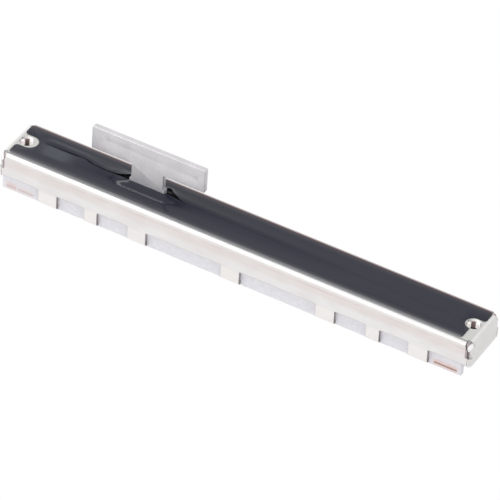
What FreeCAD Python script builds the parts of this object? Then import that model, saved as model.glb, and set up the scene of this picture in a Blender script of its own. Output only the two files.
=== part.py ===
"""Slide potentiometer: folded steel case, moulded base, black dust film and a T-shaped lever.

X runs along the travel, from the low end to the high end. Z points out of the mounting face.
The origin is midway between the two mounting holes, on the top face of the case's top plate.
All sizes are in millimetres.
"""
import FreeCAD, Part
import os

V = FreeCAD.Vector

# Travel, and where the lever stands in it
travel = 60.0
lever_rest_x = -15.8

# Case: one folded sheet
sheet = 0.5
case_width = 8.4
case_height = 6.4
side_bend = 0.7
end_bend = 1.0
fold_seam = 0.05
window_height = 2.55
flap_lift = 2.4

# Relief cut at each corner where two folds meet
relief_width = 0.5
relief_slope_top = 0.5
relief_slope_bottom = 1.5
ear_radius = 0.8
ear_gap = 0.1
flange_chamfer = 0.35
relief_depth = 2.6
relief_notch_top = 1.75
relief_notch_reach = 0.45
ear_setback = 0.15

# Tabs left between the windows of each side wall, counted from the case's end inwards
end_window = 6.5
outer_tab = 3.05
outer_window = 4.45
middle_tab = 2.1
inner_window = 4.9
inner_tab = 3.0
centre_tab = 3.0
foot_reach = 1.9
foot_clearance = 0.05

# Lever slot and mounting holes
slot_width = 2.4
slot_end_clearance = 0.25
hole_inset = 2.0
thread_drill = 1.6
collar_diameter = 2.4
collar_drop = 0.8
hole_chamfer = 0.28

# Dust film
film_thickness = 0.12
film_width = 6.9
film_corner = 0.5
film_left_back = 0.85
film_left_front = 1.05
film_right_back = 0.75
film_right_front = 2.1
film_right_slant = 0.5
film_notch_left_width = 2.75
film_notch_left_reach = 3.75
film_notch_right = 1.2
film_slit_clearance = 0.1
film_slit_overrun = 0.35

# Lever: a blade with a T-shaped head
blade_thickness = 0.85
head_width = 18.1
head_bottom = 3.9
head_top = 7.7
head_corner = 0.25
stem_width = 5.1
shoulder_width = 5.6
shoulder_top = 1.4
tang_cover = 0.2
tang_hole = 1.2
tang_hole_margin = 0.9

# Carrier that runs inside the case
carrier_length = 11.9
carrier_side_gap = 0.15
carrier_top_gap = 0.1
carrier_channel_width = 3.2
carrier_collar_gap = 0.2
carrier_block_length = 8.4
carrier_edge = 0.12
stake_diameter = 0.9
stake_pitch = 3.0
stake_height = 0.35

# Bumpers behind the end flaps
bumper_length = 0.9
bumper_gap = 0.1
bumper_seam = 0.05
bumper_width = 5.0
bumper_drop = 0.6
bumper_hang = 0.1
bumper_edge = 0.2

# Base
base_side_gap = 0.03
base_wall = 0.8
base_height = 2.9
base_floor = 1.4
base_end_wall = 0.4
base_seam = 0.1
base_lip = 0.2
base_left_reach = 0.3
base_right_reach = 1.45
base_right_main = 2.0
base_lug = 0.7
base_corner = 0.25

# Tracks on their board
board_thickness = 0.8
board_side_gap = 0.02
board_end_gap = 0.05
track_thickness = 0.05
track_offset = 1.3
resistive_width = 1.6
collector_width = 1.4
resistive_overrun = 1.5
electrode_end_gap = 0.25

# Terminals: lead frame in the base, pins in the rear row
lead_thickness = 0.3
lead_height = 0.4
pin_row = 2.3
pin_width = 0.8
pin_length = 3.5
pin_tip = 0.2
lead_1 = (1.1, 2.7)
lead_2 = (3.0, 5.5)
lead_3 = (5.6, 2.1)

# Rivets that join leads and tracks
rivet_shank = 0.7
rivet_head = 1.2
rivet_head_height = 0.2
rivet_pocket = 1.8

# Wiper brush under the carrier
brush_thickness = 0.12
brush_height = 0.85
brush_width = 4.6
brush_plate = 2.4
finger_width = 0.34
finger_pitch = 0.48
fingers_per_group = 3
finger_run = 2.4
finger_tip = 0.5
contact_gap = 0.04

# Guide spring in the carrier's rear side
spring_thickness = 0.12
spring_span = 8.6
spring_height = 1.2
spring_pocket = 0.55
spring_pocket_margin = 0.25
spring_gap = 0.03

# Places that follow from the sizes above
case_length = travel + carrier_length + 2 * (bumper_gap + bumper_length + bumper_seam + sheet)
half_length = case_length / 2
half_width = case_width / 2
inner_length = half_length - sheet
inner_width = half_width - sheet
wall_depth = case_height - window_height
flap_depth = case_height - flap_lift
hole_x = half_length - hole_inset
slot_half = travel / 2 + shoulder_width / 2 + slot_end_clearance
floor_top = -case_height + base_floor
board_top = floor_top + board_thickness
track_top = board_top + track_thickness
carrier_low = track_top + brush_height
carrier_top = -sheet - carrier_top_gap
channel_floor = -sheet - collar_drop - carrier_collar_gap
tang_low = carrier_low + tang_cover
spring_middle = (carrier_low + carrier_top) / 2
lead_bottom = -case_height + lead_height
lead_top = lead_bottom + lead_thickness
base_left = -half_length + base_left_reach
base_left_main = -inner_length + base_seam
base_right = half_length - base_right_reach
base_right_body = half_length - base_right_main
tray_half = inner_width - base_side_gap - base_wall
board_left = base_left_main + base_end_wall + board_end_gap
board_right = base_right_body - base_end_wall - board_end_gap


def box(x0, x1, y0, y1, z0, z1):
    return Part.makeBox(x1 - x0, y1 - y0, z1 - z0, V(x0, y0, z0))


def rod(diameter, x, y, z0, z1):
    return Part.makeCylinder(diameter / 2, z1 - z0, V(x, y, z0))


def plate(points, direction):
    wire = Part.makePolygon(points + points[:1])
    return Part.Face(wire).extrude(direction)


def save(name, shape):
    clean = shape.removeSplitter()
    if not clean.isValid() or len(clean.Solids) != 1:
        raise ValueError("%s is not one sound solid" % name)
    clean.Solids[0].exportStep("parts/%s.step" % name)


def round_edges(shape, radius, chosen):
    edges = [edge for edge in shape.Edges if chosen(edge)]
    return shape.makeFillet(radius, edges)


def along(axis, edge):
    """True for a straight edge that runs along the axis, given as a vector."""
    if not isinstance(edge.Curve, Part.Line):
        return False
    return abs(abs(edge.tangentAt(edge.FirstParameter).dot(axis)) - 1) < 1e-6


def folded(half, top, bottom, radius, half_run, across):
    """A block with its two long top edges rounded, closed at both ends: one face of a fold.

    across is True for a fold over the width, whose block runs along X, and False for an end fold.
    """
    if across:
        block = box(-half_run, half_run, -half, half, bottom, top)
        run = V(1, 0, 0)
    else:
        block = box(-half, half, -half_run, half_run, bottom, top)
        run = V(0, 1, 0)
    return round_edges(block, radius, lambda e: along(run, e) and e.CenterOfMass.z > top - 1e-6)


def tab_spans():
    """The tabs of one side wall, as pairs of X values from left to right."""
    spans = [(-centre_tab / 2, centre_tab / 2)]
    outer = half_length - end_window
    for width, window in ((outer_tab, outer_window), (middle_tab, inner_window), (inner_tab, 0.0)):
        spans.append((outer - width, outer))
        spans.append((-outer, width - outer))
        outer -= width + window
    return sorted(spans)


# Case

def case_walls():
    """Top plate and side walls, with the walls' ends shaped to clear the end flaps."""
    end = inner_length - fold_seam
    outer = folded(half_width, 0.0, -wall_depth, side_bend, end, True)
    inner = folded(inner_width, -sheet, -wall_depth - sheet, side_bend - sheet, end + sheet, True)
    walls = outer.cut(inner)
    bend_x = half_length - end_bend - fold_seam
    side_x = bend_x + relief_width - ear_gap
    beyond = half_length + sheet
    for side in (-1, 1):
        outline = [(bend_x, sheet), (bend_x, -relief_slope_top), (side_x, -relief_slope_bottom),
                   (side_x, -relief_depth), (beyond, -relief_depth), (beyond, sheet)]
        points = [V(side * x, -case_width, z) for x, z in outline]
        walls = walls.cut(plate(points, V(0, 2 * case_width, 0)))
    return walls


def case_flaps():
    """Both end flaps with their bends, narrower beside the walls' ends and full width below."""
    reach = half_width - ear_setback
    upright = V(0, 0, 1)
    outer = folded(half_length, 0.0, -flap_depth, end_bend, reach, False)
    outer = round_edges(outer, ear_radius, lambda e: along(upright, e))
    inner = folded(inner_length, -sheet, -flap_depth - sheet, end_bend - sheet, reach - sheet, False)
    inner = round_edges(inner, ear_radius - sheet, lambda e: along(upright, e))
    bend_x = half_length - end_bend - fold_seam
    middle = box(-bend_x, bend_x, -case_width, case_width, -case_height, sheet)
    flaps = outer.cut(inner).cut(middle)
    for side in (-1, 1):
        for edge in (-1, 1):
            wide = case_flap_edge(side, edge)
            flaps = flaps.fuse(wide).cut(case_relief(side, edge))
    return flaps


def case_flap_edge(side, edge):
    """The strip that takes the flap's lower part out to the walls' outer faces."""
    near = half_width - 2 * ear_setback
    outline = [(inner_length, near - flange_chamfer), (half_length, near - flange_chamfer),
               (half_length, half_width - flange_chamfer), (half_length - flange_chamfer, half_width),
               (inner_length, half_width)]
    points = [V(side * x, edge * y, -flap_depth) for x, y in outline]
    return plate(points, V(0, 0, flap_depth - relief_depth))


def case_relief(side, edge):
    """The relief at one corner: a slit along the wall's end and a notch at the ear's foot."""
    bend_x = half_length - end_bend - fold_seam
    near_x = bend_x + ear_gap
    far_x = bend_x + relief_width
    outline = [(bend_x - sheet, sheet), (near_x, sheet), (near_x, -relief_slope_top),
               (far_x, -relief_slope_bottom), (far_x, -relief_depth), (bend_x - sheet, -relief_depth)]
    points = [V(side * x, edge * (half_width - side_bend), z) for x, z in outline]
    slit = plate(points, V(0, edge * case_width, 0))
    notch_x = sorted((side * bend_x, side * (half_length + sheet)))
    notch_y = sorted((edge * (half_width - relief_notch_reach), edge * case_width))
    notch = box(notch_x[0], notch_x[1], notch_y[0], notch_y[1], -relief_depth, -relief_notch_top)
    return slit.fuse(notch)


def case_tabs():
    """Tabs below the side walls, each with a foot bent under the base."""
    outer = folded(half_width, case_height, -wall_depth, side_bend, half_length, True)
    inner = folded(inner_width, case_height - sheet, -wall_depth - sheet, side_bend - sheet,
                   half_length + sheet, True)
    shell = outer.cut(inner)
    shell = shell.mirror(V(0, 0, 0), V(0, 0, 1))
    below = box(-half_length, half_length, -case_width, case_width, -case_height - sheet, -wall_depth)
    between = half_width - foot_reach
    middle = box(-half_length, half_length, -between, between, -case_height - sheet, 0.0)
    shell = shell.common(below).cut(middle)
    strips = [box(x0, x1, -case_width, case_width, -case_height - sheet, 0.0) for x0, x1 in tab_spans()]
    return shell.common(Part.makeCompound(strips))


def lever_slot():
    straight = slot_half - slot_width / 2
    slot = box(-straight, straight, -slot_width / 2, slot_width / 2, -side_bend, sheet)
    for side in (-1, 1):
        slot = slot.fuse(rod(slot_width, side * straight, 0.0, -side_bend, sheet))
    return slot


def hole_collar(x):
    """The rim that extruding the hole leaves under the plate."""
    return rod(collar_diameter, x, 0.0, -sheet - collar_drop, -sheet / 2)


def hole_cut(x):
    """The threaded hole, drilled to its core and chamfered at its mouth."""
    core = rod(thread_drill, x, 0.0, -sheet - collar_drop - sheet, sheet)
    mouth = thread_drill / 2 + hole_chamfer
    return core.fuse(Part.makeCone(thread_drill / 2, mouth, hole_chamfer, V(x, 0, -hole_chamfer)))


def make_case():
    case = case_walls().fuse([case_flaps(), case_tabs()])
    case = case.cut(lever_slot())
    for side in (-1, 1):
        case = case.fuse(hole_collar(side * hole_x)).cut(hole_cut(side * hole_x))
    return case


# Dust film

def film_outline():
    """The film's outline without its notches, with the front right end cut short and slanted."""
    half = film_width / 2
    left_back = -half_length + film_left_back
    left_front = -half_length + film_left_front
    right_back = half_length - film_right_back
    right_front = half_length - film_right_front
    points = [(left_front, -half), (right_front, -half), (right_front + film_right_slant / 4, -half / 2),
              (right_front - film_right_slant, 0.0), (right_back, 0.0), (right_back, half),
              (left_back, half), (left_back, 0.0), (left_front, 0.0)]
    return [V(x, y, 0) for x, y in points]


def film_notches():
    """Left: a slot with a round end. Right: a round cut that hugs the hole's rim."""
    apex = -half_length + film_notch_left_reach
    centre = apex - film_notch_left_width / 2
    beyond = half_length + sheet
    left = box(-beyond, centre, -film_notch_left_width / 2, film_notch_left_width / 2, -sheet, sheet)
    left = left.fuse(rod(film_notch_left_width, centre, 0.0, -sheet, sheet))
    right = rod(2 * film_notch_right, hole_x, 0.0, -sheet, sheet)
    gap = box(hole_x, beyond, -film_notch_right, film_notch_right, -sheet, sheet)
    return left.fuse([right, gap])


def film_slit():
    """Room for the lever's blade over the whole travel."""
    width = blade_thickness + 2 * film_slit_clearance
    straight = slot_half + film_slit_overrun - width / 2
    slit = box(-straight, straight, -width / 2, width / 2, -sheet, sheet)
    for side in (-1, 1):
        slit = slit.fuse(rod(width, side * straight, 0.0, -sheet, sheet))
    return slit


def make_dust_cover():
    film = plate(film_outline(), V(0, 0, film_thickness))
    film = film.cut(film_notches())
    upright = V(0, 0, 1)
    film = round_edges(film, film_corner, lambda e: along(upright, e) and is_film_corner(e))
    return film.cut(film_slit())


def is_film_corner(edge):
    """The four outer corners, on the film's long edges, and those where a notch opens at its end."""
    outer = abs(abs(edge.CenterOfMass.y) - film_width / 2) < 1e-6
    return outer or abs(edge.CenterOfMass.x) > half_length - film_left_front - 1e-6


# Lever

def make_lever():
    """Head, stem, shoulders and tang in one blade, at its rest place."""
    half_head = head_width / 2
    half_stem = stem_width / 2
    half_shoulder = shoulder_width / 2
    right = [(half_shoulder, tang_low), (half_shoulder, shoulder_top), (half_stem, shoulder_top),
             (half_stem, head_bottom), (half_head, head_bottom), (half_head, head_top)]
    outline = right + [(-x, z) for x, z in reversed(right)]
    front = -blade_thickness / 2
    blade = plate([V(lever_rest_x + x, front, z) for x, z in outline], V(0, blade_thickness, 0))
    through = V(0, 1, 0)
    blade = round_edges(blade, head_corner,
                        lambda e: along(through, e) and e.CenterOfMass.z > head_top - 1e-6)
    hole = Part.makeCylinder(tang_hole / 2, 2 * blade_thickness,
                             V(lever_rest_x, -blade_thickness, tang_low + tang_hole_margin), V(0, 1, 0))
    return blade.cut(hole)


# Carrier

def make_carrier():
    """Moulded slider with two top rails, a centre block round the tang and two stakes below."""
    half = carrier_length / 2
    half_y = inner_width - carrier_side_gap
    block = box(lever_rest_x - half, lever_rest_x + half, -half_y, half_y, carrier_low, carrier_top)
    block = round_edges(block, carrier_edge, lambda e: along(V(1, 0, 0), e) or along(V(0, 0, 1), e))
    channel = carrier_channel_width / 2
    for side in (-1, 1):
        ends = sorted((lever_rest_x + side * carrier_block_length / 2, lever_rest_x + side * carrier_length))
        block = block.cut(box(ends[0], ends[1], -channel, channel, channel_floor, 0.0))
    block = block.cut(spring_room())
    for x, y in stake_places():
        block = block.fuse(rod(stake_diameter, x, y, carrier_low - stake_height, carrier_low))
    return block.cut(make_lever())


def spring_room():
    """Pocket in the carrier's rear side that holds the guide spring by its ends."""
    half = spring_span / 2 + spring_pocket_margin
    depth = inner_width - carrier_side_gap - spring_pocket
    tall = spring_height / 2 + spring_pocket_margin
    return box(lever_rest_x - half, lever_rest_x + half, depth, inner_width,
               spring_middle - tall, spring_middle + tall)


def stake_places():
    x = lever_rest_x - finger_run - brush_plate / 2
    return [(x, -stake_pitch / 2), (x, stake_pitch / 2)]


# Wiper brush

def finger_offsets():
    """Y of every finger's centre line: one group over each track."""
    middle = (fingers_per_group - 1) / 2
    steps = [(i - middle) * finger_pitch for i in range(fingers_per_group)]
    return [side * track_offset + step for side in (-1, 1) for step in steps]


def make_wiper_brush():
    """A plate staked to the carrier, with fingers that slope down to the tracks and curl up."""
    plate_right = lever_rest_x - finger_run
    plate_left = plate_right - brush_plate
    top = carrier_low
    brush = box(plate_left, plate_right, -brush_width / 2, brush_width / 2, top - brush_thickness, top)
    for x, y in stake_places():
        brush = brush.cut(rod(stake_diameter, x, y, top - sheet, top + sheet))
    low = track_top + contact_gap
    lift = finger_tip / 2
    under = [(plate_right - brush_thickness, top - brush_thickness), (plate_right, top - brush_thickness),
             (lever_rest_x - finger_tip / 2, low), (lever_rest_x, low),
             (lever_rest_x + finger_tip, low + lift)]
    over = [(x, z + brush_thickness) for x, z in reversed(under)]
    for y in finger_offsets():
        points = [V(x, y - finger_width / 2, z) for x, z in under + over]
        brush = brush.fuse(plate(points, V(0, finger_width, 0)))
    return brush


# Guide spring

def make_guide_spring():
    """A bowed strip: its ends lie in the pocket and its crown nearly meets the case wall."""
    half = spring_span / 2
    seat = inner_width - carrier_side_gap - spring_pocket
    crown = inner_width - spring_gap
    z0 = spring_middle - spring_height / 2
    inside = Part.Arc(V(lever_rest_x - half, seat, z0), V(lever_rest_x, crown - spring_thickness, z0),
                      V(lever_rest_x + half, seat, z0)).toShape()
    outside = Part.Arc(V(lever_rest_x + half, seat + spring_thickness, z0), V(lever_rest_x, crown, z0),
                       V(lever_rest_x - half, seat + spring_thickness, z0)).toShape()
    right = Part.makeLine(V(lever_rest_x + half, seat, z0),
                          V(lever_rest_x + half, seat + spring_thickness, z0))
    left = Part.makeLine(V(lever_rest_x - half, seat + spring_thickness, z0),
                         V(lever_rest_x - half, seat, z0))
    return Part.Face(Part.Wire([inside, right, outside, left])).extrude(V(0, 0, spring_height))


# Bumpers

def make_bumper(side):
    outer = side * (inner_length - bumper_seam)
    x = sorted((outer, outer - side * bumper_length))
    low = carrier_low - bumper_hang
    high = -end_bend - bumper_drop
    block = box(x[0], x[1], -bumper_width / 2, bumper_width / 2, low, high)
    return round_edges(block, bumper_edge, lambda e: along(V(1, 0, 0), e))


# Base

def make_base():
    """A tray with side walls, end walls, pockets for the case's feet and room for the lead frame."""
    half = inner_width - base_side_gap
    tray = box(base_left_main, base_right_body, -half, half, -case_height, -case_height + base_height)
    tray = tray.fuse(box(base_left, base_left_main, -half, half, -case_height, -flap_depth - base_lip))
    for side in (-1, 1):
        y = sorted((side * half, side * (half - base_lug)))
        tray = tray.fuse(box(base_right_body, base_right, y[0], y[1], -case_height, -flap_depth - base_lip))
    tray = round_edges(tray, base_corner, is_base_corner)
    tray = tray.cut(box(base_left_main + base_end_wall, base_right_body - base_end_wall,
                        -tray_half, tray_half, floor_top, 0.0))
    tray = tray.cut(foot_pockets())
    for lead in lead_places():
        tray = tray.cut(lead_shape(lead)).cut(rivet_shape(lead))
        x, y = rivet_place(lead)
        tray = tray.cut(rod(rivet_pocket, x, y, -case_height - sheet, lead_bottom))
    return tray


def is_base_corner(edge):
    """Upright edges at the base's four outer corners."""
    if not along(V(0, 0, 1), edge):
        return False
    x, y = edge.CenterOfMass.x, edge.CenterOfMass.y
    at_end = min(abs(x - base_left), abs(x - base_right)) < 1e-6
    return at_end and abs(abs(y) - inner_width + base_side_gap) < 1e-6


def foot_pockets():
    """Pockets under the base that take the bent feet, deep enough for their bends."""
    top = -case_height + sheet + foot_clearance
    bend_top = -case_height + side_bend + 2 * foot_clearance
    inside = half_width - foot_reach - foot_clearance
    bend_side = half_width - side_bend - 2 * foot_clearance
    pockets = []
    for x0, x1 in tab_spans():
        for side in (-1, 1):
            wide = sorted((side * inside, side * half_width))
            high = sorted((side * bend_side, side * half_width))
            pockets.append(box(x0 - foot_clearance, x1 + foot_clearance, wide[0], wide[1],
                               -case_height - sheet, top))
            pockets.append(box(x0 - foot_clearance, x1 + foot_clearance, high[0], high[1],
                               -case_height - sheet, bend_top))
    return Part.makeCompound(pockets)


# Board and tracks

def board_holes(shape, leads):
    for lead in leads:
        x, y = rivet_place(lead)
        shape = shape.cut(rod(rivet_shank, x, y, -case_height, 0.0))
    return shape


def make_element_board():
    half = tray_half - board_side_gap
    board = box(board_left, board_right, -half, half, floor_top, board_top)
    return board_holes(board, lead_places())


def track_strip(x0, x1, y, width):
    return box(x0, x1, y - width / 2, y + width / 2, board_top, track_top)


def make_resistive_track():
    reach = travel / 2 + resistive_overrun
    return track_strip(-reach, reach, track_offset, resistive_width)


def make_electrode(side):
    inner = side * (travel / 2 + resistive_overrun)
    outer = board_right - electrode_end_gap if side > 0 else board_left + electrode_end_gap
    x = sorted((inner, outer))
    lead = lead_places()[2] if side > 0 else lead_places()[0]
    return board_holes(track_strip(x[0], x[1], track_offset, resistive_width), [lead])


def make_collector_track():
    left = board_left + electrode_end_gap
    right = travel / 2 + resistive_overrun
    return board_holes(track_strip(left, right, -track_offset, collector_width), [lead_places()[1]])


# Terminals and rivets

def lead_places():
    """Each lead as its left and right X and its rivet's side: 1 over the resistive track."""
    first = (-half_length + lead_1[0], -half_length + lead_1[1], 1)
    second = (-half_length + lead_2[0], -half_length + lead_2[1], -1)
    third = (half_length - lead_3[0], half_length - lead_3[1], 1)
    return [first, second, third]


def rivet_place(lead):
    return (lead[0] + lead[1]) / 2, lead[2] * track_offset


def lead_shape(lead):
    """A flat lead from the front face to the rear row, with its pin bent down."""
    x = (lead[0] + lead[1]) / 2
    front = -inner_width + base_side_gap
    flat = box(lead[0], lead[1], front, pin_row, lead_bottom, lead_top)
    bottom = -case_height - pin_length
    pin = box(x - pin_width / 2, x + pin_width / 2, pin_row - lead_thickness, pin_row, bottom, lead_top)
    pin = pin.makeChamfer(pin_tip, [e for e in pin.Edges
                                    if along(V(0, 1, 0), e) and e.CenterOfMass.z < bottom + 1e-6])
    return flat.fuse(pin)


def make_terminal(lead):
    x, y = rivet_place(lead)
    return lead_shape(lead).cut(rod(rivet_shank, x, y, lead_bottom - sheet, lead_top + sheet))


def rivet_shape(lead):
    """Shank through lead, floor, board and track, with a head at each end."""
    x, y = rivet_place(lead)
    low = lead_bottom - rivet_head_height
    rivet = rod(rivet_shank, x, y, low, track_top + rivet_head_height)
    upper = rod(rivet_head, x, y, track_top, track_top + rivet_head_height)
    lower = rod(rivet_head, x, y, low, lead_bottom)
    return rivet.fuse([upper, lower])


def build():
    os.makedirs("parts", exist_ok=True)
    save("case", make_case())
    save("dust_cover", make_dust_cover())
    save("lever", make_lever())
    save("carrier", make_carrier())
    save("wiper_brush", make_wiper_brush())
    save("guide_spring", make_guide_spring())
    save("left_bumper", make_bumper(-1))
    save("right_bumper", make_bumper(1))
    save("base", make_base())
    save("element_board", make_element_board())
    save("resistive_track", make_resistive_track())
    save("collector_track", make_collector_track())
    save("electrode_1", make_electrode(-1))
    save("electrode_3", make_electrode(1))
    for number, lead in enumerate(lead_places(), 1):
        save("terminal_%d" % number, make_terminal(lead))
        save("rivet_%d" % number, rivet_shape(lead))


build()
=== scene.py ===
import math

import bpy
from mathutils import Matrix, Vector


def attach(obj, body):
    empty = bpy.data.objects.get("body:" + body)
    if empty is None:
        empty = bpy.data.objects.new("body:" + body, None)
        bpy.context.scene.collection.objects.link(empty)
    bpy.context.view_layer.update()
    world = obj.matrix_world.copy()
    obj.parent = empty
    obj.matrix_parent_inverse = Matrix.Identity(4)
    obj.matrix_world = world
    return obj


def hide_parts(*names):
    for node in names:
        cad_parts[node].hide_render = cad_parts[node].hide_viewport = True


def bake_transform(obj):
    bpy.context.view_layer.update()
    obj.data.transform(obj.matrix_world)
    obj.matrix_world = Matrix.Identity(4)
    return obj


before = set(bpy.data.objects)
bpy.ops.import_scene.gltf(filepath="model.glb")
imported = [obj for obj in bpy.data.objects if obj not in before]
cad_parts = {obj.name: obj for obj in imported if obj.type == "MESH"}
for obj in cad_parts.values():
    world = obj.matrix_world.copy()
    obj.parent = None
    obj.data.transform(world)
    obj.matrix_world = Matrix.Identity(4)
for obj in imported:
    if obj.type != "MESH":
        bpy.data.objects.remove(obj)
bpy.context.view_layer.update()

MM = 0.001

# Base. The real piece is one pale, slightly see-through moulding of glass-filled plastic that
# closes the case from below; the case's tabs are bent under it. The leads are moulded into it,
# and their copper shows through it as a faint warm haze round each cut edge.


class Channel:
    """One output of a finish's nodes. Plain arithmetic on it adds Math nodes."""

    def __init__(self, finish, socket):
        self.finish = finish
        self.socket = socket

    def maths(self, operation, *values):
        return self.finish.node("Math", {"operation": operation}, dict(enumerate(values)))

    def __add__(self, other):
        return self.maths("ADD", self, other)

    def __sub__(self, other):
        return self.maths("SUBTRACT", self, other)

    def __rsub__(self, other):
        return self.maths("SUBTRACT", other, self)

    def __mul__(self, other):
        return self.maths("MULTIPLY", self, other)

    def __truediv__(self, other):
        return self.maths("DIVIDE", self, other)

    def __abs__(self):
        return self.maths("ABSOLUTE", self)

    __radd__ = __add__
    __rmul__ = __mul__

    def least(self, other):
        return self.maths("MINIMUM", self, other)

    def most(self, other):
        return self.maths("MAXIMUM", self, other)

    def ramp(self, low, high, first=0.0, last=1.0):
        """A smooth step from first, at low, to last, at high."""
        return self.finish.node("MapRange", {"interpolation_type": "SMOOTHSTEP"},
                                {"Value": self, "From Min": low, "From Max": high,
                                 "To Min": first, "To Max": last})

    def fall(self, low, high, first=1.0):
        """A smooth step down from first, at low, to nothing, at high."""
        return self.ramp(low, high, first, 0.0)


class Finish:
    """A material with its nodes, laid out for one piece of this object."""

    def __init__(self, name, **sockets):
        self.material = bpy.data.materials.new(name)
        self.material.use_nodes = True
        self.shader = self.material.node_tree.nodes["Principled BSDF"]
        self.give(**sockets)

    def node(self, kind, settings, sockets, output=0):
        """Adds one node and gives the output that is asked for."""
        made = self.material.node_tree.nodes.new("ShaderNode" + kind)
        for name, value in settings.items():
            setattr(made, name, value)
        for name, value in sockets.items():
            self.plug(made.inputs[name], value)
        return Channel(self, made.outputs[output])

    def plug(self, socket, value):
        if isinstance(value, Channel):
            self.material.node_tree.links.new(value.socket, socket)
        else:
            socket.default_value = value

    def give(self, **sockets):
        for name, value in sockets.items():
            self.plug(self.shader.inputs[name.replace("_", " ")], value)

    def place(self):
        """X, Y and Z of a point of the piece, in millimetres."""
        point = self.node("TexCoord", {}, {}, "Object")
        parts = [self.node("SeparateXYZ", {}, {"Vector": point}, axis) for axis in "XYZ"]
        return [part / MM for part in parts]

    def facing(self):
        """X, Y and Z of the surface's own normal."""
        normal = self.node("TexCoord", {}, {}, "Normal")
        return [self.node("SeparateXYZ", {}, {"Vector": normal}, axis) for axis in "XYZ"]

    def cloud(self, size, detail=3.0, stretch=(1.0, 1.0, 1.0)):
        """Soft noise from 0 to 1 whose spots are about size millimetres across."""
        point = self.node("TexCoord", {}, {}, "Object")
        scale = [1.0 / (size * longer * MM) for longer in stretch]
        scaled = self.node("Mapping", {}, {"Vector": point, "Scale": scale})
        return self.node("TexNoise", {}, {"Vector": scaled, "Scale": 1.0, "Detail": detail})

    def mix(self, share, first, second):
        """The first colour, with this share of the second laid over it."""
        colours = [c if isinstance(c, Channel) else (*c, 1.0) for c in (first, second)]
        return self.node("Mix", {"data_type": "RGBA"}, {0: share, 6: colours[0], 7: colours[1]}, 2)

    def bump(self, height, depth):
        """A normal from a height between 0 and 1 that stands for depth millimetres."""
        return self.node("Bump", {}, {"Height": height, "Distance": depth * MM, "Strength": 1.0})

    def on(self, *pieces):
        for piece in pieces:
            piece.data.materials.clear()
            piece.data.materials.append(self.material)


LEAD_Z = -5.75
LEAD_CUTS = ((-36.5, -34.7, 1.0), (-34.6, -31.9, 0.45), (31.7, 35.5, 1.0))

base_plastic = Finish("base_plastic", Roughness=0.42, IOR=1.5)
x, y, z = base_plastic.place()
haze = base_plastic.cloud(0.6, 4.0)
along_lead = 0.0
for start, end, strength in LEAD_CUTS:
    half = (end - start) / 2
    along_lead = abs(x - (start + end) / 2).fall(half - 0.5, half + 0.35, strength) + along_lead
above_lead = abs(z - LEAD_Z).fall(0.1, 0.9)
front = y.fall(-3.6, -3.4)
warm = along_lead * above_lead * front * (haze * 0.5 + 0.65)
pale = base_plastic.mix(haze.ramp(0.35, 0.7), (0.80, 0.79, 0.84), (0.86, 0.85, 0.885))
base_plastic.give(Base_Color=base_plastic.mix(warm.least(1.0) * 0.7, pale, (0.80, 0.52, 0.46)),
                  Normal=base_plastic.bump(base_plastic.cloud(0.25, 4.0), 0.004))
base_plastic.on(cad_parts["base"])

# Terminals. Three leads stamped from copper alloy strip, moulded into the base. Their sheared
# ends show in the front windows, coppery on the right and paler on the left; the pins below
# are tinned for soldering.

terminal_metal = Finish("terminal_metal", Metallic=0.85)
x, y, z = terminal_metal.place()
sheared = y.fall(-3.55, -3.35)
at_left = x.fall(-1.0, 1.0, 0.85)
grain = terminal_metal.cloud(0.18, 4.0, (1.0, 1.0, 6.0))
copper = terminal_metal.mix(grain.ramp(0.3, 0.7), (0.36, 0.23, 0.19), (0.52, 0.38, 0.33))
copper = terminal_metal.mix(at_left, copper, (0.74, 0.67, 0.67))
tin = terminal_metal.mix(grain.ramp(0.3, 0.7), (0.66, 0.65, 0.62), (0.78, 0.77, 0.75))
terminal_metal.give(Base_Color=terminal_metal.mix(sheared, tin, copper),
                    Roughness=sheared * 0.25 + grain * 0.2 + 0.22,
                    Normal=terminal_metal.bump(grain, 0.006))
terminal_metal.on(*[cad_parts["terminal_%d" % number] for number in (1, 2, 3)])

# Element board and its printed tracks. The board is brown paper laminate held in the tray;
# the tracks are screen-printed on it: black carbon for the resistance and the collector,
# silver ink at both ends.

laminate = Finish("laminate", Roughness=0.5)
fibre = laminate.cloud(0.5, 5.0, (4.0, 1.0, 1.0))
laminate.give(Base_Color=laminate.mix(fibre.ramp(0.3, 0.7), (0.30, 0.16, 0.07), (0.42, 0.25, 0.12)),
              Normal=laminate.bump(fibre, 0.01))
laminate.on(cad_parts["element_board"])

carbon_ink = Finish("carbon_ink")
grain = carbon_ink.cloud(0.08, 3.0)
carbon_ink.give(Base_Color=carbon_ink.mix(grain, (0.012, 0.012, 0.013), (0.035, 0.035, 0.037)),
                Roughness=grain * 0.2 + 0.45, Normal=carbon_ink.bump(grain, 0.004))
carbon_ink.on(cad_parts["resistive_track"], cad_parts["collector_track"])

silver_ink = Finish("silver_ink", Metallic=0.7)
grain = silver_ink.cloud(0.08, 3.0)
silver_ink.give(Base_Color=silver_ink.mix(grain, (0.52, 0.52, 0.50), (0.68, 0.68, 0.66)),
                Roughness=grain * 0.2 + 0.4, Normal=silver_ink.bump(grain, 0.004))
silver_ink.on(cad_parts["electrode_1"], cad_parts["electrode_3"])

# Rivets. Brass eyelets closed over each lead's end, which carry its contact up through the
# floor and the board to a track.

rivet_brass = Finish("rivet_brass", Metallic=1.0)
tarnish = rivet_brass.cloud(0.5, 4.0)
eyelet_brass = rivet_brass.mix(tarnish.ramp(0.35, 0.7), (0.72, 0.56, 0.28), (0.52, 0.38, 0.18))
rivet_brass.give(Base_Color=eyelet_brass,
                 Roughness=tarnish * 0.25 + 0.2, Normal=rivet_brass.bump(tarnish, 0.008))
rivet_brass.on(*[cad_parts["rivet_%d" % number] for number in (1, 2, 3)])

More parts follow.
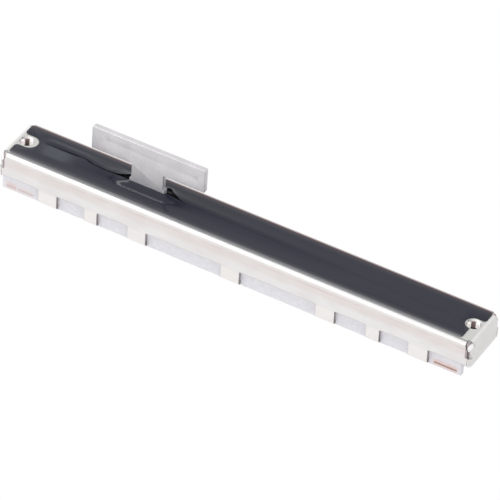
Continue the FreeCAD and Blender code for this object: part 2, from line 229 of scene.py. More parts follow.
# Bumpers. Soft stops of black rubber, pressed in behind both end flaps, one at each end of the
# carrier's run.

bumper_rubber = Finish("bumper_rubber", Roughness=0.75)
pores = bumper_rubber.cloud(0.15, 4.0)
bumper_rubber.give(Base_Color=bumper_rubber.mix(pores, (0.018, 0.018, 0.019), (0.04, 0.04, 0.042)),
                   Normal=bumper_rubber.bump(pores, 0.02))
bumper_rubber.on(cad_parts["left_bumper"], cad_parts["right_bumper"])

# Carrier. The black acetal slider that runs in the case; it is moulded round the lever's tang
# and holds the brush on two stakes and the spring in its rear pocket.

carrier_plastic = Finish("carrier_plastic")
grain = carrier_plastic.cloud(0.3, 4.0, (3.0, 1.0, 1.0))
acetal = carrier_plastic.mix(grain, (0.085, 0.08, 0.09), (0.13, 0.125, 0.135))
carrier_plastic.give(Base_Color=acetal,
                     Roughness=grain * 0.2 + 0.35, Normal=carrier_plastic.bump(grain, 0.006))
carrier_plastic.on(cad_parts["carrier"])

# Wiper brush and guide spring. Both are thin spring strip of copper alloy with a bright
# plating; the brush wipes the tracks, and the bowed spring keeps the carrier against one wall.

spring_strip = Finish("spring_strip", Metallic=1.0)
rolled = spring_strip.cloud(0.12, 3.0, (12.0, 1.0, 1.0))
spring_strip.give(Base_Color=spring_strip.mix(rolled, (0.62, 0.52, 0.33), (0.78, 0.70, 0.50)),
                  Roughness=rolled * 0.2 + 0.2, Normal=spring_strip.bump(rolled, 0.003))
spring_strip.on(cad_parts["wiper_brush"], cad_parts["guide_spring"])

# Case. One sheet of tin-plated steel, blanked and folded over the length and at both ends.
# Its faces are bright and faintly cloudy; its long folds carry painted shade, and its sheared edges are
# dark steel with painted shade on them.

CASE_END = 37.5
FOLD_Z = -0.35
WINDOW_TOP = -3.8
WINDOWS = ((1.5, 13.5), (16.5, 21.4), (23.5, 27.95), (31.0, 37.2))
HOLE_X = 35.5
THREAD_PITCH = 0.4

case_plate = Finish("case_plate")
x, y, z = case_plate.place()
nx, ny, nz = case_plate.facing()
cloud = case_plate.cloud(2.2, 5.0, (2.0, 1.0, 1.0))
specks = case_plate.cloud(0.35, 3.0)
from_end = abs(abs(x) - CASE_END)
flat_top = nz.ramp(0.9, 0.99)
side_wall = abs(ny).ramp(0.8, 0.98)
plating = case_plate.mix(cloud.ramp(0.3, 0.72), (0.80, 0.775, 0.765), (0.86, 0.85, 0.845))
# The side walls are faintly warmer in streaks under the fold, and the tabs are the palest.
streaks = case_plate.cloud(0.7, 4.0, (10.0, 1.0, 1.0))
under_fold = abs(z + 1.5).fall(0.2, 1.3, 0.45) * (streaks * 1.6 + 0.2)
plating = case_plate.mix(under_fold * side_wall, plating, (0.76, 0.66, 0.63))
patches = case_plate.cloud(3.0, 3.0).ramp(0.35, 0.65)
drag_line = abs(z + 1.02 + streaks * 0.12).fall(0.02, 0.14, 0.5) * patches
plating = case_plate.mix(drag_line * side_wall, plating, (0.62, 0.47, 0.43))
plating = case_plate.mix(z.fall(-4.2, -3.7, 0.7), plating, (0.93, 0.90, 0.88))
# The tabs' feet, bent in under the base, are painted darker and warmer: painted shade.
tab_foot_shade = (0.0 - nz).ramp(0.1, 0.6) * z.fall(-6.3, -5.9) * abs(y).ramp(3.5, 3.6)
plating = case_plate.mix(tab_foot_shade * 0.55, plating, (0.55, 0.42, 0.39))
# The flat top is painted a darker grey: painted shade.
plating = case_plate.mix(flat_top, plating, (0.62, 0.62, 0.60))
# The long folds are painted darker where they turn down, the rear one most of all: painted shade.
in_fold = abs(z - FOLD_Z).fall(0.3, 0.5)
front_fold_shade = (0.0 - ny).fall(0.15, 0.78, 0.85) * (0.0 - ny).ramp(0.03, 0.12) * in_fold
plating = case_plate.mix(front_fold_shade, plating, (0.24, 0.24, 0.25))
rear_fold_shade = ny.ramp(0.03, 0.12) * ny.fall(0.8, 0.95, 0.7) * in_fold
plating = case_plate.mix(rear_fold_shade, plating, (0.33, 0.24, 0.24))
# The end flaps are painted a little darker, a painted shade, with a pale band along the lower edge. The
# walls' own
# sheared ends beside them are dark: raw sheared steel with painted shade.
end_face = abs(nx).ramp(0.3, 0.8) * from_end.fall(0.3, 0.6)
plating = case_plate.mix(end_face * 0.35, plating, (0.64, 0.62, 0.61))
plating = case_plate.mix(end_face * z.fall(-3.82, -3.7, 0.8), plating, (0.88, 0.88, 0.95))
sheared_end_and_shade = abs(nx).ramp(0.85, 0.97) * from_end.ramp(0.35, 0.5)
plating = case_plate.mix(sheared_end_and_shade * 0.9, plating, (0.30, 0.26, 0.27))
# A thin painted shade runs along the top and the right edge of each window.
rim_shade = 0.0
for start, end in WINDOWS:
    half = (end - start) / 2
    rim_shade = abs(abs(x) - (start + end) / 2).fall(half - 0.1, half) + rim_shade
rim_shade = rim_shade * abs(z - WINDOW_TOP).fall(0.02, 0.1)
right_edges = [-start for start, end in reversed(WINDOWS)] + [end for start, end in WINDOWS[:-1]]
for edge in right_edges:
    rim_shade = abs(x - edge - 0.06).fall(0.04, 0.12, 0.8) * z.fall(-3.85, -3.75) + rim_shade
rim_shade = (rim_shade * abs(ny).ramp(0.8, 0.95)).least(1.0)
plating = case_plate.mix(rim_shade * 0.6, plating, (0.52, 0.53, 0.57))
# The ears at the corners carry a painted highlight on their rounded front, with painted shade round it.
highlight_x = (abs(x) - 37.08 - (z + 0.8) * 0.25) / 0.31
highlight_z = (z + 0.82) / 0.62
ear_highlight = highlight_x * highlight_x + highlight_z * highlight_z
ear = abs(y).ramp(3.3, 3.5) * abs(x).ramp(36.5, 36.6)
ear_shade = ear_highlight.ramp(0.95, 1.25) * z.fall(-0.15, -0.02) * highlight_x.fall(0.5, 1.1) * z.ramp(-2.6, -2.5)
plating = case_plate.mix(ear * ear_shade * 0.75, plating, (0.26, 0.20, 0.21))
plating = case_plate.mix(ear * ear_highlight.fall(0.7, 1.1), plating, (0.99, 0.965, 0.975))
# The threads carry a painted glint on two sides of each bore, which also glows faintly through
# emission, and are brown between.
across = abs(nx * 0.89 + ny * 0.455)
glint_sides = across.ramp(0.3, 0.5) * across.fall(0.85, 0.97)
from_hole = (abs(x) - HOLE_X) * (abs(x) - HOLE_X) + y * y
thread = from_hole.fall(0.7, 0.78) * z.fall(-0.2, -0.1)
turn = z * (2.0 * math.pi / THREAD_PITCH)
crest = turn.maths("SINE", turn).ramp(-0.6, 0.6, 0.55, 1.0)
threads = case_plate.mix(glint_sides * crest, (0.40, 0.30, 0.28), (0.98, 0.97, 0.96))
plating = case_plate.mix(thread, plating, threads)
glint = case_plate.mix(thread * glint_sides, (0.0, 0.0, 0.0), (1.0, 0.98, 0.96))
# The slot's edges, and the plate under the film's lips, are painted near black: painted shade.
slot_edge = abs(ny).ramp(0.5, 0.9) * abs(y).fall(2.0, 2.4) * abs(x).fall(33.5, 34.0)
under_lips = flat_top * z.ramp(-0.1, -0.05) * abs(y).fall(1.9, 2.3) * abs(x).fall(32.9, 33.3)
unlit = (under_lips + slot_edge).least(1.0)
plating = case_plate.mix(unlit * 0.94, plating, (0.04, 0.04, 0.045))
case_plate.give(Base_Color=plating, Metallic=0.55, Emission_Color=glint, Emission_Strength=0.55,
                Roughness=cloud * 0.15 + specks * 0.1 + 0.25,
                Normal=case_plate.bump(specks, 0.003))
case_plate.on(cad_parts["case"])

# Lever. A blade stamped from plated steel strip, with a T-shaped head for the knob; its edges
# are broken all round, and pins of the tool have left faint round dents near the head's ends.

LEVER_X = -15.8
BLADE = 0.85
HEAD_HALF = 9.05
HEAD_TOP = 7.7
HEAD_BOTTOM = 3.9
STEM_HALF = 2.55
SHOULDER_TOP = 1.4
SHOULDER_OUT = 0.25
LEVER_FOOT = -3.0
DENTS = ((-22.2, 6.3, 0.9), (-8.2, 5.8, 1.0))
DENT_DEPTH = 0.03


def start_cube(name, low, high):
    """A block between two corners, given in millimetres, alone in the selection."""
    bpy.ops.object.select_all(action="DESELECT")
    middle = [(a + b) / 2 * MM for a, b in zip(low, high)]
    bpy.ops.mesh.primitive_cube_add(size=1.0, location=middle)
    block = bpy.context.object
    block.name = block.data.name = name
    block.scale = [(b - a) * MM for a, b in zip(low, high)]
    bpy.ops.object.transform_apply(location=True, rotation=False, scale=True)
    return block


def pick_faces(piece, test):
    """In edit mode, selects the faces whose middle (millimetres) and normal pass the test."""
    bpy.ops.object.mode_set(mode="EDIT")
    bpy.ops.mesh.select_mode(type="FACE")
    bpy.ops.mesh.select_all(action="DESELECT")
    bpy.ops.object.mode_set(mode="OBJECT")
    for face in piece.data.polygons:
        face.select = test(face.center / MM, face.normal)
    bpy.ops.object.mode_set(mode="EDIT")


def pick_edges(piece, test):
    """In edit mode, selects the edges whose two ends, in millimetres, pass the test."""
    bpy.ops.object.mode_set(mode="EDIT")
    bpy.ops.mesh.select_mode(type="EDGE")
    bpy.ops.mesh.select_all(action="DESELECT")
    bpy.ops.object.mode_set(mode="OBJECT")
    corners = [vertex.co / MM for vertex in piece.data.vertices]
    for edge in piece.data.edges:
        edge.select = test(*[corners[i] for i in edge.vertices])
    bpy.ops.object.mode_set(mode="EDIT")


def push(move):
    """Extrudes the selected faces by these millimetres."""
    bpy.ops.mesh.extrude_region_move(TRANSFORM_OT_translate={"value": [v * MM for v in move]})


def apply_modifier(piece, kind, **settings):
    """Gives the piece a modifier with these settings and applies it."""
    bpy.ops.object.mode_set(mode="OBJECT")
    modifier = piece.modifiers.new(kind.lower(), kind)
    for name, value in settings.items():
        setattr(modifier, name, value)
    bpy.context.view_layer.objects.active = piece
    bpy.ops.object.modifier_apply(modifier=modifier.name)


def smooth(piece, degrees):
    """Shades the piece smooth, but not across edges sharper than this."""
    bpy.ops.object.select_all(action="DESELECT")
    piece.select_set(True)
    bpy.ops.object.shade_smooth_by_angle(angle=math.radians(degrees))


lever = start_cube("lever_blade", (LEVER_X - HEAD_HALF, -BLADE / 2, HEAD_BOTTOM),
                   (LEVER_X + HEAD_HALF, BLADE / 2, HEAD_TOP))
for cut_x in (LEVER_X - STEM_HALF, LEVER_X + STEM_HALF):
    pick_faces(lever, lambda c, n: True)
    bpy.ops.mesh.bisect(plane_co=(cut_x * MM, 0.0, 0.0), plane_no=(1.0, 0.0, 0.0))
pick_faces(lever, lambda c, n: n.z < -0.9 and abs(c.x - LEVER_X) < STEM_HALF)
push((0.0, 0.0, SHOULDER_TOP - HEAD_BOTTOM))
push((0.0, 0.0, LEVER_FOOT - SHOULDER_TOP))
for side in (-1, 1):
    pick_faces(lever, lambda c, n: n.x * side > 0.9 and c.z < SHOULDER_TOP)
    push((side * SHOULDER_OUT, 0.0, 0.0))
bpy.ops.mesh.select_all(action="SELECT")
bpy.ops.mesh.dissolve_limited(angle_limit=math.radians(2))
pick_edges(lever, lambda a, b: a.z > HEAD_TOP - 0.1 and abs(a.x - b.x) < 0.01 and abs(a.z - b.z) < 0.01)
bpy.ops.mesh.bevel(offset=0.25 * MM, segments=3)
apply_modifier(lever, "BEVEL", width=0.08 * MM, segments=4, limit_method="ANGLE",
               angle_limit=math.radians(40))
for dent_x, dent_z, radius in DENTS:
    bpy.ops.object.select_all(action="DESELECT")
    dent_y = -(BLADE / 2 + radius - DENT_DEPTH)
    bpy.ops.mesh.primitive_uv_sphere_add(segments=48, ring_count=24, radius=radius * MM,
                                         location=(dent_x * MM, dent_y * MM, dent_z * MM))
    punch = bpy.context.object
    bpy.ops.object.transform_apply(location=True)
    apply_modifier(lever, "BOOLEAN", object=punch, operation="DIFFERENCE", solver="EXACT")
    bpy.data.objects.remove(punch)
smooth(lever, 20)

lever_plate = Finish("lever_plate", Metallic=0.75)
x, y, z = lever_plate.place()
nx, ny, nz = lever_plate.facing()
brushed = lever_plate.cloud(0.5, 5.0, (3.0, 1.0, 1.0))
cloud = lever_plate.cloud(2.5, 4.0)
satin = lever_plate.mix(cloud.ramp(0.3, 0.7), (0.665, 0.65, 0.67), (0.73, 0.715, 0.735))
grain = lever_plate.cloud(0.22, 2.0)
satin = lever_plate.mix(grain.fall(0.35, 0.65, 0.25), satin, (0.50, 0.49, 0.51))
# Some of the broken edges are darker.
dark_edges = (ny * nz).ramp(0.12, 0.35) + (nx * ny).fall(-0.35, -0.12, 0.4)
satin = lever_plate.mix(dark_edges.least(1.0) * 0.7, satin, (0.22, 0.21, 0.22))
# Round each dent the blade is painted a little darker: painted shade in the hollow.
for dent_x, dent_z, _ in DENTS:
    from_dent = abs(x - dent_x) * abs(x - dent_x) + abs(z - dent_z) * abs(z - dent_z)
    satin = lever_plate.mix(from_dent.fall(0.03, 0.25, 0.2), satin, (0.42, 0.41, 0.42))
# The shoulders' tops, where the stem goes into the film, are painted darker: painted shade.
shoulder_shade = nz.ramp(0.3, 0.8) * z.fall(1.6, 2.0)
satin = lever_plate.mix(shoulder_shade * 0.7, satin, (0.22, 0.21, 0.22))
lever_plate.give(Base_Color=satin, Roughness=brushed * 0.12 + 0.4,
                 Normal=lever_plate.bump(brushed, 0.003))
lever_plate.on(lever)
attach(lever, "slider")
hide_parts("lever")

# Dust film. A strip of black polyester film stuck on the top plate round a lengthwise slit.
# The lips of the slit are free over the case's slot: the lever parts them and rucks them up,
# and to the left of it both stand a little open.

FILM_TOP = 0.12
FILM_HALF = 3.45
FILM_LEFT, FILM_RIGHT = -36.65, 36.75
FRONT_LEFT, FRONT_RIGHT = -36.45, 35.45
NOTCHES = ((-35.125, 1.375, -1), (35.5, 1.2, 1))
FREE_FRONT = -1.7
FREE_BACK = 2.4
SLIT_END = 33.4

film = start_cube("dust_film", (FILM_LEFT, -FILM_HALF, 0.005), (FILM_RIGHT, FILM_HALF, FILM_TOP))
# The front part is shorter at both ends, and round each hole is a notch that is open to the end.
film_cuts = [start_cube("cut", (FRONT_RIGHT, -4.0, -1.0), (40.0, 0.3, 1.0)),
             start_cube("cut", (-40.0, -4.0, -1.0), (FRONT_LEFT, 0.3, 1.0))]
for centre, radius, side in NOTCHES:
    bpy.ops.object.select_all(action="DESELECT")
    bpy.ops.mesh.primitive_cylinder_add(vertices=64, radius=radius * MM, depth=2.0 * MM,
                                        location=(centre * MM, 0.0, 0.0))
    notch = bpy.context.object
    bpy.ops.object.transform_apply(location=True)
    for vertex in notch.data.vertices:
        if side * (vertex.co.x / MM - centre) > 0.01:
            vertex.co.x += side * 5.0 * MM
    film_cuts.append(notch)
for cut in film_cuts:
    apply_modifier(film, "BOOLEAN", object=cut, operation="DIFFERENCE", solver="EXACT")
    bpy.data.objects.remove(cut)
# The outer corners are rounded, and all edges broken.
pick_edges(film, lambda a, b: abs(a.z - b.z) > 0.05
           and (abs(abs(a.y) - FILM_HALF) < 0.01 or abs(a.x) > 36.4))
bpy.ops.mesh.bevel(offset=0.5 * MM, segments=8)
apply_modifier(film, "BEVEL", width=0.04 * MM, segments=2, limit_method="ANGLE",
               angle_limit=math.radians(50))
opening = start_cube("cut", (-SLIT_END, FREE_FRONT, -1.0), (SLIT_END, FREE_BACK, 1.0))
apply_modifier(film, "BOOLEAN", object=opening, operation="DIFFERENCE", solver="EXACT")
bpy.data.objects.remove(opening)
smooth(film, 35)

film_black = Finish("film_black", Roughness=0.25, IOR=1.46)
x, y, z = film_black.place()
drift = film_black.cloud(4.0, 3.0, (3.0, 1.0, 1.0))
fine = film_black.cloud(0.4, 4.0, (2.0, 1.0, 1.0))
black = film_black.mix(drift * 0.7 + fine * 0.3, (0.003, 0.0045, 0.016), (0.007, 0.009, 0.025))
# Towards both long edges the film is painted paler, a painted sheen where it rolls over the folds, and
# its front edge is the palest.
front_sheen = ((y + 2.35) / -1.1).most(0.0)
black = film_black.mix((front_sheen * front_sheen).least(1.0), black, (0.10, 0.10, 0.11))
back_sheen = ((y - 2.6) / 0.85).most(0.0)
black = film_black.mix((back_sheen * back_sheen).least(1.0), black, (0.06, 0.025, 0.032))
black = film_black.mix((0.0 - y).ramp(3.2, 3.46), black, (0.22, 0.22, 0.245))
# A patch of the front lip beside the left hole is painted grey: a painted reflection.
sheen_patch = (x + fine * 1.5).fall(-29.0, -26.2) * (x - fine).ramp(-34.2, -32.2)
sheen_patch = sheen_patch * (y + fine * 0.3).ramp(-1.75, -0.75) * y.fall(0.4, 0.65)
black = film_black.mix(sheen_patch, black, (0.047, 0.056, 0.072))
film_black.give(Base_Color=black, Normal=film_black.bump(drift, 0.01))
film_black.on(film)
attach(film, "housing")
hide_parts("dust_cover")


def follow(knots, place):
    """The values at this X of a smooth line through knots, each of them an X and its values."""
    last = len(knots) - 1
    here = max(i for i in range(last) if i == 0 or knots[i][0] <= place)
    a, b = knots[here], knots[here + 1]
    before, after = knots[max(here - 1, 0)], knots[min(here + 2, last)]
    run = b[0] - a[0]
    t = min(max((place - a[0]) / run, 0.0), 1.0)
    values = []
    for k in range(1, len(a)):
        slope_a = (b[k] - before[k]) / (b[0] - before[0]) * run
        slope_b = (after[k] - a[k]) / (after[0] - a[0]) * run
        values.append((2 * t**3 - 3 * t**2 + 1) * a[k] + (t**3 - 2 * t**2 + t) * slope_a
                      + (3 * t**2 - 2 * t**3) * b[k] + (t**3 - t**2) * slope_b)
    return values


# The lips' shape along the slit. Each line is an X, then Y and Z of two points on the way up, of
# the fold, and of the free edge.
FRONT_LIP = (
    (-33.4, -1.2, 0.12, -0.4, 0.12, 0.3, 0.12, 0.9, 0.12),
    (-32.6, -1.2, 0.13, -0.4, 0.19, 0.3, 0.24, 0.72, 0.26),
    (-28.0, -1.2, 0.13, -0.4, 0.19, 0.3, 0.24, 0.72, 0.26),
    (-26.2, -1.2, 0.15, -0.5, 0.28, 0.05, 0.4, 0.53, 0.48),
    (-25.2, -1.2, 0.15, -0.7, 0.28, -0.22, 0.41, 0.16, 0.53),
    (-24.0, -1.2, 0.15, -0.7, 0.27, -0.25, 0.39, 0.08, 0.49),
    (-23.0, -1.2, 0.15, -0.7, 0.25, -0.25, 0.36, 0.05, 0.45),
    (-22.0, -1.2, 0.16, -0.7, 0.26, -0.3, 0.38, 0.02, 0.47),
    (-21.4, -1.1, 0.17, -0.68, 0.3, -0.32, 0.43, 0.0, 0.52),
    (-20.9, -1.05, 0.18, -0.65, 0.32, -0.35, 0.44, -0.02, 0.55),
    (-20.3, -1.25, 0.15, -1.0, 0.33, -0.6, 0.5, -0.08, 0.64),
    (-19.6, -1.42, 0.13, -1.1, 0.4, -0.75, 0.66, -0.2, 0.78),
    (-19.0, -1.45, 0.12, -1.08, 0.43, -0.74, 0.7, -0.3, 0.86),
    (-18.65, -1.44, 0.12, -1.09, 0.42, -0.78, 0.68, -0.42, 0.96),
    (-18.3, -1.43, 0.12, -1.1, 0.407, -0.8, 0.667, -0.45, 0.95),
    (-13.3, -1.43, 0.12, -1.1, 0.407, -0.8, 0.667, -0.45, 0.95),
    (-12.95, -1.42, 0.12, -1.06, 0.42, -0.72, 0.69, -0.4, 0.93),
    (-12.7, -1.42, 0.12, -1.05, 0.42, -0.6, 0.72, -0.1, 0.9),
    (-12.3, -1.35, 0.13, -0.95, 0.4, -0.5, 0.6, -0.03, 0.75),
    (-11.7, -1.15, 0.16, -0.75, 0.36, -0.4, 0.5, 0.0, 0.62),
    (-11.0, -1.1, 0.18, -0.7, 0.32, -0.35, 0.45, 0.0, 0.56),
    (-10.0, -1.2, 0.14, -0.8, 0.22, -0.4, 0.33, 0.0, 0.46),
    (-9.0, -1.2, 0.13, -0.8, 0.18, -0.4, 0.28, 0.0, 0.4),
    (-8.0, -1.2, 0.12, -0.8, 0.155, -0.4, 0.23, 0.0, 0.34),
    (-3.0, -1.2, 0.125, -0.8, 0.16, -0.4, 0.215, 0.0, 0.29),
    (5.0, -1.2, 0.12, -0.8, 0.155, -0.4, 0.2, 0.0, 0.26),
    (12.0, -1.2, 0.12, -0.8, 0.13, -0.4, 0.15, 0.0, 0.18),
    (18.0, -1.2, 0.12, -0.8, 0.12, -0.4, 0.12, -0.01, 0.125),
    (33.4, -1.2, 0.12, -0.8, 0.12, -0.4, 0.12, -0.01, 0.12),
)
BACK_LIP = (
    (-33.4, 2.15, 0.12, 1.8, 0.12, 1.42, 0.12, 0.92, 0.12),
    (-32.0, 2.15, 0.14, 1.8, 0.22, 1.42, 0.28, 0.91, 0.14),
    (-30.0, 2.15, 0.14, 1.8, 0.22, 1.42, 0.29, 0.96, 0.17),
    (-28.5, 2.15, 0.14, 1.8, 0.22, 1.4, 0.3, 0.98, 0.19),
    (-27.0, 2.15, 0.14, 1.75, 0.22, 1.33, 0.3, 0.97, 0.19),
    (-26.0, 2.15, 0.14, 1.65, 0.22, 1.2, 0.3, 0.9, 0.2),
    (-25.0, 2.15, 0.14, 1.55, 0.21, 1.0, 0.3, 0.6, 0.19),
    (-24.0, 2.15, 0.14, 1.5, 0.2, 0.82, 0.3, 0.5, 0.22),
    (-23.0, 2.1, 0.15, 1.5, 0.2, 0.68, 0.31, 0.4, 0.25),
    (-22.0, 2.1, 0.15, 1.5, 0.22, 0.7, 0.38, 0.35, 0.35),
    (-21.1, 2.1, 0.15, 1.6, 0.23, 1.1, 0.32, 0.5, 0.35),
    (-20.5, 2.1, 0.14, 1.7, 0.24, 1.25, 0.37, 0.65, 0.45),
    (-19.95, 2.1, 0.14, 1.75, 0.24, 1.35, 0.38, 0.85, 0.47),
    (-19.4, 2.15, 0.14, 1.9, 0.2, 1.6, 0.33, 1.25, 0.45),
    (-19.05, 2.1, 0.15, 1.85, 0.2, 1.5, 0.34, 1.15, 0.46),
    (-18.7, 2.1, 0.15, 1.65, 0.22, 1.2, 0.36, 0.8, 0.5),
    (-18.2, 2.1, 0.15, 1.5, 0.24, 0.95, 0.37, 0.5, 0.5),
    (-14.3, 2.1, 0.15, 1.5, 0.24, 0.95, 0.37, 0.5, 0.5),
    (-13.8, 2.15, 0.14, 1.85, 0.22, 1.55, 0.35, 1.25, 0.46),
    (-13.4, 2.2, 0.13, 2.05, 0.19, 1.9, 0.28, 1.7, 0.4),
    (-13.0, 2.2, 0.13, 2.05, 0.18, 1.88, 0.28, 1.7, 0.4),
    (-12.7, 2.15, 0.13, 1.97, 0.18, 1.75, 0.29, 1.5, 0.42),
    (-12.4, 2.1, 0.13, 1.85, 0.17, 1.55, 0.27, 1.22, 0.45),
    (-12.0, 2.1, 0.13, 1.75, 0.18, 1.4, 0.28, 1.03, 0.4),
    (-11.35, 2.1, 0.13, 1.6, 0.18, 1.15, 0.28, 0.72, 0.3),
    (-10.8, 2.1, 0.13, 1.5, 0.18, 1.0, 0.27, 0.5, 0.22),
    (-10.1, 2.1, 0.13, 1.5, 0.18, 0.95, 0.26, 0.4, 0.15),
    (-9.1, 2.1, 0.13, 1.4, 0.18, 0.9, 0.25, 0.33, 0.13),
    (-8.0, 2.1, 0.13, 1.4, 0.17, 0.85, 0.24, 0.28, 0.12),
    (-3.0, 2.1, 0.13, 1.4, 0.16, 0.8, 0.22, 0.22, 0.11),
    (5.0, 2.1, 0.12, 1.4, 0.14, 0.75, 0.18, 0.19, 0.11),
    (12.0, 2.1, 0.12, 1.4, 0.13, 0.7, 0.15, 0.09, 0.11),
    (18.0, 2.1, 0.12, 1.4, 0.12, 0.6, 0.12, 0.02, 0.115),
    (33.4, 2.1, 0.12, 1.4, 0.12, 0.6, 0.12, 0.01, 0.12),
)


FOLD_REACH = 0.28
FOLD_STEPS = 4
LIP_THICKNESS = 0.1


def lip_point(share, line):
    """A point at this share of a bent line's length; the mean over a reach rounds its corners."""
    lengths = [math.dist(a, b) for a, b in zip(line, line[1:])]
    whole = sum(lengths)
    reach = min(FOLD_REACH, 0.7 * share * whole, 0.7 * (1.0 - share) * whole)
    total_y = total_z = 0.0
    for step in range(-FOLD_STEPS, FOLD_STEPS + 1):
        at = share * whole + reach * step / FOLD_STEPS
        part = 0
        while part < len(lengths) - 1 and at > lengths[part]:
            at -= lengths[part]
            part += 1
        (y0, z0), (y1, z1) = line[part], line[part + 1]
        total_y += y0 + (y1 - y0) * at / lengths[part]
        total_z += z0 + (z1 - z0) * at / lengths[part]
    samples = 2 * FOLD_STEPS + 1
    return total_y / samples, total_z / samples


lips = []
for name, outer, knots in (("front", FREE_FRONT, FRONT_LIP), ("back", FREE_BACK, BACK_LIP)):
    bpy.ops.object.select_all(action="DESELECT")
    bpy.ops.mesh.primitive_grid_add(x_subdivisions=334, y_subdivisions=40, size=1.0)
    lip = bpy.context.object
    lip.name = lip.data.name = "film_lip_" + name
    for vertex in lip.data.vertices:
        place = vertex.co.x * 2.0 * SLIT_END
        bends = follow(knots, place)
        line = [(outer, FILM_TOP)] + list(zip(bends[::2], bends[1::2]))
        vertex.co = Vector((place, *lip_point(vertex.co.y + 0.5, line))) * MM
    if outer > 0:
        bpy.ops.object.mode_set(mode="EDIT")
        bpy.ops.mesh.select_all(action="SELECT")
        bpy.ops.mesh.flip_normals()
    apply_modifier(lip, "SOLIDIFY", thickness=LIP_THICKNESS * MM, offset=-1.0)
    smooth(lip, 40)
    film_black.on(lip)
    lips.append(lip)

# Each lip is taken apart across its length, at shares of the way between the slit's ends and the
# lever's shoulders, and joined again.

BESIDE_STEM = 2.9
LEFT_SHARES = (0.0, 0.06, 0.25, 0.5, 0.75, 0.94, 1.0)
RIGHT_SHARES = (0.0, 0.03, 0.12, 0.3, 0.5, 0.7, 0.88, 0.97, 1.0)


def part_share(share):
    """Where along a blend the lever's body has this share of a point."""
    return 0.5 - math.sin(math.asin(1.0 - 2.0 * share) / 3.0)


def blended(lip):
    """The lip, taken apart between the slit's ends and the lever, and joined in one piece again."""
    parts = []
    for fixed, moved, shares in ((-SLIT_END, LEVER_X - BESIDE_STEM, LEFT_SHARES),
                                 (SLIT_END, LEVER_X + BESIDE_STEM, RIGHT_SHARES)):
        for low, high in zip(shares, shares[1:]):
            start = fixed + (moved - fixed) * low
            end = fixed + (moved - fixed) * high
            parts.append((start, end, part_share(low), part_share(high)))
    pieces = []
    for start, end, from_share, to_share in parts:
        bpy.ops.object.select_all(action="DESELECT")
        lip.select_set(True)
        bpy.context.view_layer.objects.active = lip
        is_last = to_share > 0.999
        near, far = sorted((start, LEVER_X if is_last else end))
        pick_faces(lip, lambda c, n: near < c.x <= far)
        bpy.ops.mesh.separate(type="SELECTED")
        bpy.ops.object.mode_set(mode="OBJECT")
        piece = [o for o in bpy.context.selected_objects if o is not lip][0]
        run = (end - start) / (to_share - from_share)
        first = start - from_share * run
        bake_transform(piece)
        pieces.append(piece)
    name = lip.name
    bpy.data.objects.remove(lip)
    bpy.ops.object.select_all(action="DESELECT")
    for piece in pieces:
        piece.select_set(True)
    bpy.context.view_layer.objects.active = pieces[0]
    bpy.ops.object.join()
    whole = bpy.context.object
    whole.name = whole.data.name = name
    bpy.ops.object.mode_set(mode="EDIT")
    bpy.ops.mesh.select_all(action="SELECT")
    bpy.ops.mesh.remove_doubles(threshold=0.002 * MM)
    bpy.ops.object.mode_set(mode="OBJECT")
    return whole


for lip in lips:
    blended(lip)

# Studio. A pale floor that the camera and bright metal see as white, and an even, soft light
# from the sky, a large lamp overhead and one in front.

FLOOR_Z = -9.95

bpy.ops.object.select_all(action="DESELECT")
bpy.ops.mesh.primitive_plane_add(size=4.0, location=(0.0, 0.0, FLOOR_Z * MM))
floor = bpy.context.object
floor.name = "floor"
paper = Finish("floor_paper", Roughness=0.9, Base_Color=(0.85, 0.85, 0.85, 1.0))
camera_ray = paper.node("LightPath", {}, {}, "Is Camera Ray")
glossy_ray = paper.node("LightPath", {}, {}, "Is Glossy Ray")
glow = paper.node("Emission", {}, {"Color": (1.0, 1.0, 1.0, 1.0), "Strength": 1.0})
tree = paper.material.node_tree
mixer = tree.nodes.new("ShaderNodeMixShader")
paper.plug(mixer.inputs[0], camera_ray.most(glossy_ray))
tree.links.new(paper.shader.outputs[0], mixer.inputs[1])
tree.links.new(glow.socket, mixer.inputs[2])
tree.links.new(mixer.outputs[0], tree.nodes["Material Output"].inputs["Surface"])
paper.on(floor)

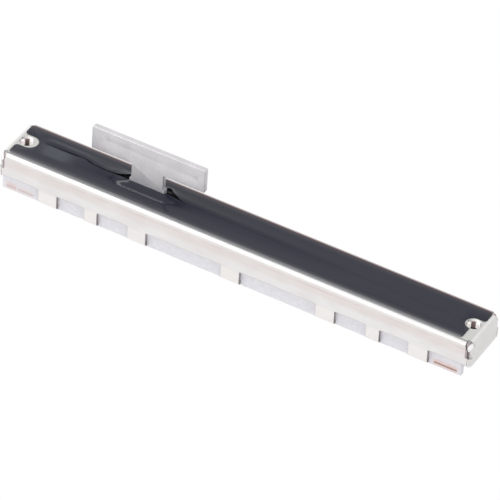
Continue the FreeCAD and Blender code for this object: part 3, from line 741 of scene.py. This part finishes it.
world = bpy.data.worlds.new("studio")
bpy.context.scene.world = world
world.use_nodes = True
sky = world.node_tree.nodes["Background"]
sky.inputs["Color"].default_value = (1.0, 1.0, 1.0, 1.0)
path = world.node_tree.nodes.new("ShaderNodeLightPath")
level = world.node_tree.nodes.new("ShaderNodeMapRange")
level.inputs["To Min"].default_value = 1.0
level.inputs["To Max"].default_value = 0.75
world.node_tree.links.new(path.outputs["Is Diffuse Ray"], level.inputs["Value"])
world.node_tree.links.new(level.outputs["Result"], sky.inputs["Strength"])


def soft_lamp(name, place, size, power):
    """A square-cornered area lamp that looks at the part."""
    bpy.ops.object.select_all(action="DESELECT")
    bpy.ops.object.light_add(type="AREA", location=place)
    lamp = bpy.context.object
    lamp.name = name
    lamp.data.shape = "RECTANGLE"
    lamp.data.size, lamp.data.size_y = size
    lamp.data.energy = power
    lamp.rotation_euler = (-Vector(place)).to_track_quat("-Z", "Y").to_euler()


soft_lamp("overhead_lamp", (-0.4, -0.14, 0.56), (0.2, 0.4), 1.26)
soft_lamp("front_lamp", (-0.25, -0.6, 0.3), (0.5, 0.35), 0.7)

# Camera. It stands where the photograph was taken from, and its lens gives the photograph's
# own frame and perspective.

CAMERA_PLACE = (244.61246, -476.64852, 441.90626)
FOCAL_PIXELS = 5044.232
IMAGE_WIDTH = 500.0
SENSOR_WIDTH = 36.0

camera_data = bpy.data.cameras.new("camera")
camera = bpy.data.objects.new("camera", camera_data)
bpy.context.scene.collection.objects.link(camera)
right = Vector((0.8663485, 0.4962027, 0.0567725))
down = Vector((0.3560371, -0.5338755, -0.7669515))
ahead = Vector((-0.3502539, 0.6846604, -0.6391888))
turn = Matrix((right, -down, -ahead)).transposed().to_4x4()
camera.matrix_world = Matrix.Translation(Vector(CAMERA_PLACE) * MM) @ turn
camera_data.sensor_width = SENSOR_WIDTH
camera_data.lens = FOCAL_PIXELS / IMAGE_WIDTH * SENSOR_WIDTH
camera_data.clip_start = 0.01
camera_data.clip_end = 10.0
bpy.context.scene.camera = camera
bpy.context.scene.view_settings.view_transform = "Standard"
